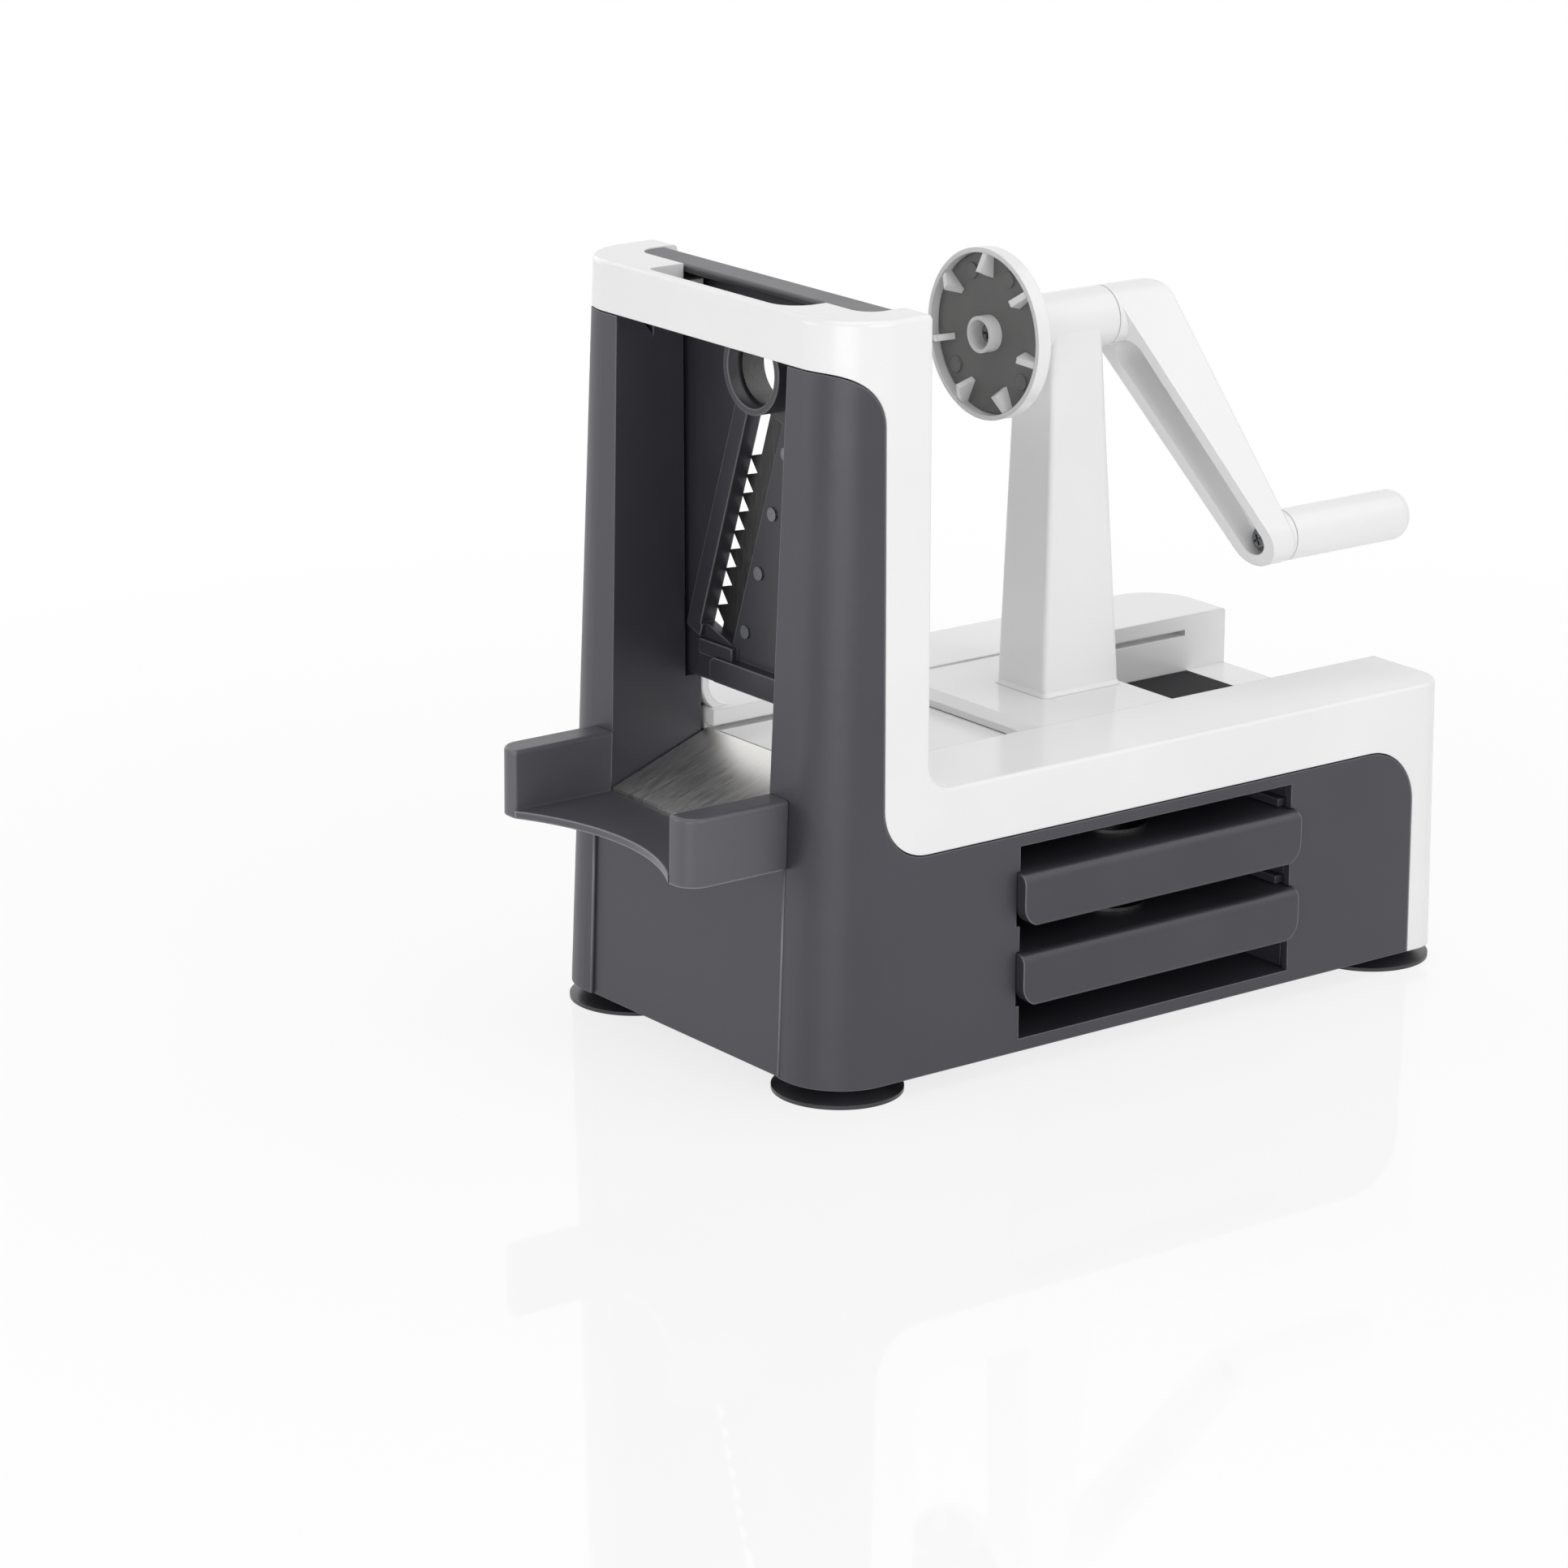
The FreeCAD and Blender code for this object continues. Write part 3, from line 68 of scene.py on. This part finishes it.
def empty_material(name):
    """A material with nothing but its output."""
    material = bpy.data.materials.new(name)
    material.use_nodes = True
    material.node_tree.nodes.clear()
    output = material.node_tree.nodes.new("ShaderNodeOutputMaterial")
    return material, material.node_tree, output


def mixed(tree, share, first, second):
    """Two shaders mixed, the share being the second one's, as a number or as a socket."""
    mix = tree.nodes.new("ShaderNodeMixShader")
    if isinstance(share, float):
        mix.inputs[0].default_value = share
    else:
        tree.links.new(share, mix.inputs[0])
    tree.links.new(first, mix.inputs[1])
    tree.links.new(second, mix.inputs[2])
    return mix.outputs["Shader"]


def background_rays(tree):
    """1 for the rays that show the background: camera, glossy and transmission rays."""
    rays = node(tree, "ShaderNodeLightPath").outputs
    total = rays["Is Camera Ray"]
    for kind in ("Is Glossy Ray", "Is Transmission Ray"):
        larger = node(tree, "ShaderNodeMath", {"operation": "MAXIMUM"})
        tree.links.new(total, larger.inputs[0])
        tree.links.new(rays[kind], larger.inputs[1])
        total = larger.outputs[0]
    return total


def tone_ramp(tree, factor, dark, light, low=0.25, high=0.75):
    """Colour that runs smoothly from dark to light as the factor goes from low to high."""
    ramp = node(tree, "ShaderNodeValToRGB", links={"Fac": factor})
    ramp.color_ramp.interpolation = "EASE"
    ramp.color_ramp.elements[0].position = low
    ramp.color_ramp.elements[0].color = linear(dark)
    ramp.color_ramp.elements[1].position = high
    ramp.color_ramp.elements[1].color = linear(light)
    return ramp.outputs["Color"]


SHADER_RAYS = 4         # of the Bevel and the Ambient Occlusion node
EDGE_ROOM = 3.0         # free room in mm that an outer edge has around it
FLAT_LEAN = 0.99        # cosine between the two normals where an edge starts, and where it is in full
EDGE_LEAN = 0.92
CLOSED_ROOM = 0.7       # share of open surroundings where an edge starts, and where it is in full
OPEN_ROOM = 0.95


def outer_edges(tree, rounded):
    """1 along outer edges and 0 elsewhere, the mask of the painted edge highlight: there the rounded normal
    leaves the surface's own one, and nothing stands close by, as it does in an inner corner."""
    own = node(tree, "ShaderNodeNewGeometry").outputs["Normal"]
    lean = node(tree, "ShaderNodeVectorMath", {"operation": "DOT_PRODUCT"})
    tree.links.new(rounded, lean.inputs[0])
    tree.links.new(own, lean.inputs[1])
    turned = node(tree, "ShaderNodeMapRange", {"From Min": FLAT_LEAN, "From Max": EDGE_LEAN},
                  {"Value": lean.outputs["Value"]})
    room = node(tree, "ShaderNodeAmbientOcclusion", {"samples": SHADER_RAYS, "Distance": EDGE_ROOM * MM})
    free = node(tree, "ShaderNodeMapRange", {"From Min": CLOSED_ROOM, "From Max": OPEN_ROOM},
                {"Value": room.outputs["AO"]})
    both = node(tree, "ShaderNodeMath", {"operation": "MULTIPLY"})
    tree.links.new(turned.outputs["Result"], both.inputs[0])
    tree.links.new(free.outputs["Result"], both.inputs[1])
    return both.outputs[0]


PLASTIC_IOR = 1.52
FLOW_LOW = 0.2          # of the flow noise, where the gloss reaches its two ends
FLOW_HIGH = 0.8
SMOOTHER = 0.04         # below and above a plastic's own roughness
ROUGHER = 0.05


def moulded_plastic(name, dark, light, roughness, grain_mm, grain_depth_mm, flow_mm, edge_mm,
                    ior=PLASTIC_IOR, painted_highlight=None):
    """Injection-moulded plastic.

    Slow flow-line mottling sets the colour between two near tones, a fine spark-eroded mould grain
    gives the bump and breaks up the gloss, and the edges have the mould's small radius. A painted
    highlight tone, when given, lightens the outer edges in place of the bright lines of light on them."""
    material, tree, output = empty_material(name)
    place = node(tree, "ShaderNodeTexCoord").outputs["Object"]
    flow = node(tree, "ShaderNodeTexNoise", {"Scale": 1 / (flow_mm * MM), "Detail": 3.0, "Roughness": 0.5},
                {"Vector": place}).outputs["Fac"]
    grain = node(tree, "ShaderNodeTexNoise", {"Scale": 1 / (grain_mm * MM), "Detail": 2.0},
                 {"Vector": place}).outputs["Fac"]
    colour = tone_ramp(tree, flow, dark, light)
    gloss = node(tree, "ShaderNodeMapRange",
                 {"interpolation_type": "SMOOTHSTEP", "From Min": FLOW_LOW, "From Max": FLOW_HIGH,
                  "To Min": roughness - SMOOTHER, "To Max": roughness + ROUGHER},
                 {"Value": flow}).outputs["Result"]
    edge = node(tree, "ShaderNodeBevel", {"samples": SHADER_RAYS, "Radius": edge_mm * MM}).outputs["Normal"]
    bump = node(tree, "ShaderNodeBump", {"Strength": 1.0, "Distance": grain_depth_mm * MM},
                {"Height": grain, "Normal": edge}).outputs["Normal"]
    # Painted highlight: the outer edges are mixed towards a lighter tone.
    if painted_highlight:
        # The Mix node's colour sockets share their names with others, so they are taken by number.
        mix = node(tree, "ShaderNodeMix", {"data_type": "RGBA"})
        tree.links.new(outer_edges(tree, edge), mix.inputs[0])
        tree.links.new(colour, mix.inputs[6])
        mix.inputs[7].default_value = linear(painted_highlight)
        colour = mix.outputs[2]
    shader = node(tree, "ShaderNodeBsdfPrincipled", {"IOR": ior},
                  {"Base Color": colour, "Roughness": gloss, "Normal": bump})
    tree.links.new(shader.outputs["BSDF"], output.inputs["Surface"])
    return material


MARKS_LOW = 0.3         # of the marks' noise, where tone and gloss reach their two ends
MARKS_HIGH = 0.7
POLISHED = 0.06         # below and above a steel's own roughness
SCORED = 0.08


def steel(name, dark, light, roughness, line_mm, stretch, depth_mm):
    """Steel with fine parallel marks left by rolling, grinding or turning.

    Noise stretched along one axis gives the marks, which vary the tone and the gloss."""
    material, tree, output = empty_material(name)
    place = node(tree, "ShaderNodeTexCoord").outputs["Object"]
    scaled = node(tree, "ShaderNodeMapping", {"Scale": stretch}, {"Vector": place}).outputs["Vector"]
    marks = node(tree, "ShaderNodeTexNoise", {"Scale": 1 / (line_mm * MM), "Detail": 4.0},
                 {"Vector": scaled}).outputs["Fac"]
    colour = tone_ramp(tree, marks, dark, light, MARKS_LOW, MARKS_HIGH)
    gloss = node(tree, "ShaderNodeMapRange",
                 {"From Min": MARKS_LOW, "From Max": MARKS_HIGH,
                  "To Min": roughness - POLISHED, "To Max": roughness + SCORED},
                 {"Value": marks}).outputs["Result"]
    bump = node(tree, "ShaderNodeBump", {"Strength": 1.0, "Distance": depth_mm * MM},
                {"Height": marks}).outputs["Normal"]
    shader = node(tree, "ShaderNodeBsdfPrincipled", {"Metallic": 1.0},
                  {"Base Color": colour, "Roughness": gloss, "Normal": bump})
    tree.links.new(shader.outputs["BSDF"], output.inputs["Surface"])
    return material


# ---- Finishes -------------------------------------------------------------------------------------
finishes = {
    # Satin white ABS from a polished mould: bright, with a soft mirror of its surroundings at low angles.
    "white_abs": moulded_plastic("moulded_white_abs", "#ECECEC", "#F0F0F0", 0.16, 0.35, 0.002, 60, 0.6),
    # Satin dark grey ABS from a finely grained mould: clear sheen along the rounded columns, and a painted
    # highlight lightens its outer edges.
    "grey_abs": moulded_plastic("moulded_grey_abs", "#36353C", "#3B3941", 0.42, 0.3, 0.006, 45, 0.6,
                                painted_highlight="#7A797E"),
    # The catch tray is a lighter copy of the same ABS: painted brightening for the light and sheen on the
    # tray, with a painted highlight on its outer edges.
    "tray": moulded_plastic("moulded_tray_abs_painted_lighter", "#4E4D53", "#545359", 0.36, 0.3, 0.005, 45, 0.9,
                            painted_highlight="#A5A4A9"),
    # Bead along the edge of the front columns: its light grey is a painted highlight line.
    "edge": moulded_plastic("painted_highlight_bead_abs", "#6A696E", "#727176", 0.34, 0.3, 0.002, 45, 0.2),
    # Near-black sheet under the sliding plate: painted shade for the shadowed roof seen through the deck
    # opening, matt so it mirrors nothing.
    "shade_sheet": moulded_plastic("matt_shade_sheet_abs", "#19191C", "#1D1D20", 0.75, 0.3, 0.008, 45, 0.2, ior=1.35),
    # The inserts' ABS is a little smoother than the housing's, so its lips have a clearer sheen; a painted
    # highlight lightens their outer edges.
    "insert_grey_abs": moulded_plastic("moulded_insert_abs", "#333238", "#38373D", 0.34, 0.3, 0.004, 40, 0.8,
                                       painted_highlight="#8A898E"),
    # Soft elastomer pad: dull and almost even.
    "dark_grip": moulded_plastic("moulded_elastomer", "#727271", "#787877", 0.6, 0.25, 0.01, 15, 0.3),
    # Rubber of the feet: dark with a faint bloom.
    "black_rubber": moulded_plastic("moulded_rubber", "#2C2C30", "#333337", 0.36, 0.3, 0.01, 12, 0.4),
    # Natural acetal of the bushes: slightly waxy off-white.
    "acetal": moulded_plastic("turned_acetal", "#DCDBD6", "#E4E3DE", 0.34, 0.4, 0.003, 8, 0.2),
    # Bright rolled stainless sheet: faint lines down the slope.
    "stainless_sheet": steel("rolled_stainless", "#D2D1CE", "#E0DFDC", 0.36, 0.5, (0.05, 1.0, 0.05), 0.001),
    # Ground blade steel: fine lines across the edge.
    "blade_steel": steel("ground_blade_steel", "#4C4C4C", "#585858", 0.42, 0.4, (1.0, 1.0, 0.08), 0.001),
    # Turned shaft steel: rings around the axis show as lines across it.
    "steel_shaft": steel("turned_steel", "#9C9C9C", "#BDBDBD", 0.36, 0.4, (1.0, 0.05, 0.05), 0.003),
    # Zinc-plated screws: dull bluish grey.
    "zinc_steel": steel("zinc_plated_steel", "#6E7072", "#8A8C8E", 0.38, 0.5, (1.0, 1.0, 1.0), 0.003),
}

OWN_FINISH = {"catch_tray": "tray"}
for entry in frame["record"]["subparts"]:
    part = frame["nodes"][entry["node"]]
    part.data.materials.clear()
    part.data.materials.append(finishes[OWN_FINISH.get(entry["node"], entry["material_slot"])])


# ---- Pieces that the solids leave out --------------------------------------------------------------
def carried(name, start, end, across, upward, profile):
    """Straight bar: a closed profile, in millimetres along two directions, carried from start to end.

    Point = place on the axis + first profile measure x across + second x upward. Across x upward points
    from start to end, so a profile drawn anticlockwise has its faces outwards. Both ends are closed."""
    count = len(profile)
    ring = profile[:, :1] * np.array(across) + profile[:, 1:] * np.array(upward)
    points = np.concatenate([np.array(start) + ring, np.array(end) + ring]) * MM
    index = np.arange(count)
    following = np.roll(index, -1)
    sides = np.stack([index, following, following + count, index + count], axis=-1)
    faces = sides.tolist() + [index[::-1].tolist(), (index + count).tolist()]
    mesh = bpy.data.meshes.new(name)
    mesh.from_pydata(points.tolist(), [], faces)
    mesh.polygons.foreach_set("use_smooth", np.repeat([True, False], [count, 2]))
    mesh.update()
    piece = bpy.data.objects.new(name, mesh)
    bpy.context.scene.collection.objects.link(piece)
    return piece


# The columns stand proud of the lower front wall, and their edge ends in a thin bead whose light grey
#  is a painted highlight line.
BEAD_RADIUS = 0.5
BEAD_BOTTOM = 6.4
BEAD_TOP = 74.0
BEAD_LEAN = 0.0241      # of the casing's front, in mm for each mm of height
BEAD_FRONT = -115.6     # of the bead's middle at the bottom
BEAD_SIDES = {"front_edge_bead_near": -48.65, "front_edge_bead_far": 51.55}
BEAD_FACETS = 12
turn = np.linspace(0, 2 * math.pi, BEAD_FACETS, endpoint=False)
circle = BEAD_RADIUS * np.stack([np.cos(turn), np.sin(turn)], axis=-1)
for bead_name, across_y in BEAD_SIDES.items():
    bead = carried(bead_name, (BEAD_FRONT, across_y, BEAD_BOTTOM),
                   (BEAD_FRONT + BEAD_LEAN * (BEAD_TOP - BEAD_BOTTOM), across_y, BEAD_TOP),
                   (1, 0, 0), (0, 1, 0), circle)
    bead.data.materials.append(finishes["edge"])
    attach(bead, "casing")

# A thin near-black sheet lies on the casing's roof, below the plate, and closes the view past the roof's
#  rounded end; its dark colour is painted shade for the shadowed roof.
SHADE_SHEET_START = 2.0
SHADE_SHEET_END = 130.6
SHADE_SHEET_MIDDLE_Y = 1.45
SHADE_SHEET_HALF = 37.4
SHADE_SHEET_LOW = 77.75
SHADE_SHEET_TOP = 78.15
outline = np.array([(-SHADE_SHEET_HALF, SHADE_SHEET_LOW), (SHADE_SHEET_HALF, SHADE_SHEET_LOW),
                    (SHADE_SHEET_HALF, SHADE_SHEET_TOP), (-SHADE_SHEET_HALF, SHADE_SHEET_TOP)])
shade_sheet = carried("deck_shade_sheet", (SHADE_SHEET_START, SHADE_SHEET_MIDDLE_Y, 0), (SHADE_SHEET_END, SHADE_SHEET_MIDDLE_Y, 0),
                (0, 1, 0), (0, 0, 1), outline)
shade_sheet.data.polygons.foreach_set("use_smooth", np.zeros(len(shade_sheet.data.polygons), dtype=bool))
shade_sheet.data.materials.append(finishes["shade_sheet"])
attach(shade_sheet, "casing")


# ---- Table, light and camera ----------------------------------------------------------------------
def grid_mesh(name, points):
    """Mesh of a (rows, columns, 3) array of points, with one face per grid cell."""
    rows, columns = points.shape[:2]
    index = np.arange(rows * columns).reshape(rows, columns)
    faces = np.stack([index[:-1, :-1], index[:-1, 1:], index[1:, 1:], index[1:, :-1]], axis=-1).reshape(-1, 4)
    mesh = bpy.data.meshes.new(name)
    mesh.from_pydata(points.reshape(-1, 3).tolist(), [], faces.tolist())
    piece = bpy.data.objects.new(name, mesh)
    bpy.context.scene.collection.objects.link(piece)
    return piece


def table_finish():
    """White lacquered table.

    Lamps and object light its diffuse coat as usual. To the camera and in reflections most of it is the
    plain white of the background, with a share of the diffuse coat that keeps the object's shadow and
    fades out away from the object, and a small share of mirror from the lacquer."""
    material, tree, output = empty_material("lacquered_white_table")
    place = node(tree, "ShaderNodeTexCoord").outputs["Object"]
    cloud = node(tree, "ShaderNodeTexNoise", {"Scale": 3.0, "Detail": 2.0}, {"Vector": place}).outputs["Fac"]
    colour = tone_ramp(tree, cloud, TABLE_DARK, TABLE_LIGHT)
    coat = node(tree, "ShaderNodeBsdfDiffuse", links={"Color": colour}).outputs["BSDF"]
    mirror = node(tree, "ShaderNodeBsdfAnisotropic",
                  {"Color": PLAIN_WHITE, "Roughness": TABLE_GLOSS}).outputs["BSDF"]
    white = node(tree, "ShaderNodeEmission", {"Color": PLAIN_WHITE, "Strength": 1.0}).outputs["Emission"]
    away = node(tree, "ShaderNodeVectorMath", {"operation": "LENGTH"}, {"Vector": place}).outputs["Value"]
    fade = node(tree, "ShaderNodeMapRange",
                {"From Min": FADE_START, "From Max": FADE_END, "To Min": 1 - COAT_SHARE, "To Max": 1.0},
                {"Value": away}).outputs["Result"]
    field = mixed(tree, fade, coat, white)
    lacquer = mixed(tree, MIRROR_SHARE, field, mirror)
    tree.links.new(mixed(tree, background_rays(tree), coat, lacquer), output.inputs["Surface"])
    return material


PLAIN_WHITE = (1, 1, 1, 1)
TABLE_DARK = "#F6F6F6"
TABLE_LIGHT = "#F8F8F8"
TABLE_GLOSS = 0.03
COAT_SHARE = 0.15       # of the diffuse coat in what the camera sees close to the object
MIRROR_SHARE = 0.05
FADE_START = 0.25       # distances from the object's middle
FADE_END = 0.65
TABLE_HALF = 6.0
TABLE_LINES = 9
lines = np.linspace(-TABLE_HALF, TABLE_HALF, TABLE_LINES)
u, v = np.meshgrid(lines, lines, indexing="ij")
table = grid_mesh("table", np.stack([u, v, np.zeros_like(u)], axis=-1))
table.data.materials.append(table_finish())


def area_light(name, place, target, width, height, watts):
    """Rectangular soft box at a place, facing a target."""
    lamp = bpy.data.lights.new(name, "AREA")
    lamp.shape = "RECTANGLE"
    lamp.size = width
    lamp.size_y = height
    lamp.energy = watts
    holder = bpy.data.objects.new(name, lamp)
    holder.location = place
    holder.rotation_euler = (Vector(target) - Vector(place)).to_track_quat("-Z", "Y").to_euler()
    bpy.context.scene.collection.objects.link(holder)
    return holder


MIDDLE = (0.0, 0.0, 0.12)
# Low and wide: its sheen lies along the rounded corner between front and side.
area_light("key_strip", (-1.68, -1.22, 0.18), MIDDLE, 1.4, 0.32, 10)
# Straight ahead and a little left: it lights the fronts, while the tower shades the post behind it.
area_light("front_strip", (-1.8, 0.95, 0.35), MIDDLE, 0.9, 0.5, 6)
area_light("side_soft_box", (0.15, -1.9, 0.9), MIDDLE, 1.4, 1.2, 10)
area_light("side_edge_box", (1.15, -0.6, 1.6), MIDDLE, 1.6, 1.6, 4.5)
area_light("top_soft_box", (0.0, 0.0, 2.3), MIDDLE, 1.6, 1.6, 14)
area_light("rear_soft_box", (-0.1, 1.9, 0.9), MIDDLE, 1.3, 1.3, 5)

world = bpy.data.worlds.new("studio")
bpy.context.scene.world = world
world.use_nodes = True
sky = world.node_tree
sky.nodes.clear()
WORLD_STRENGTH = 0.42   # of what lights the object; the background itself stays at 1
power = node(sky, "ShaderNodeMapRange", {"To Min": WORLD_STRENGTH, "To Max": 1.0},
             {"Value": background_rays(sky)}).outputs["Result"]
ground = node(sky, "ShaderNodeBackground", {"Color": PLAIN_WHITE}, {"Strength": power})
node(sky, "ShaderNodeOutputWorld", links={"Surface": ground.outputs["Background"]})

CAMERA_PLACE = (-1.090577, -1.312387, 0.586693)
CAMERA_HEADING = math.radians(52.321)
CAMERA_PITCH = math.radians(16.895)
CAMERA_ROLL = math.radians(0.601)
CAMERA_LENS = 124.79    # mm, on a sensor of this width
SENSOR_WIDTH = 36.0
CAMERA_REACH = 50.0
forward = Vector((math.cos(CAMERA_PITCH) * math.cos(CAMERA_HEADING),
                  math.cos(CAMERA_PITCH) * math.sin(CAMERA_HEADING), -math.sin(CAMERA_PITCH)))
level = Vector((math.sin(CAMERA_HEADING), -math.cos(CAMERA_HEADING), 0))
upward = level.cross(forward)
right = math.cos(CAMERA_ROLL) * level + math.sin(CAMERA_ROLL) * upward
top = -math.sin(CAMERA_ROLL) * level + math.cos(CAMERA_ROLL) * upward
camera_data = bpy.data.cameras.new("camera")
camera_data.lens = CAMERA_LENS
camera_data.sensor_width = SENSOR_WIDTH
camera_data.clip_end = CAMERA_REACH
camera = bpy.data.objects.new("camera", camera_data)
turned_to_view = Matrix((right, top, -forward)).transposed().to_4x4()
camera.matrix_world = Matrix.Translation(CAMERA_PLACE) @ turned_to_view
bpy.context.scene.collection.objects.link(camera)
bpy.context.scene.camera = camera

view = bpy.context.scene.view_settings
view.view_transform = "Standard"
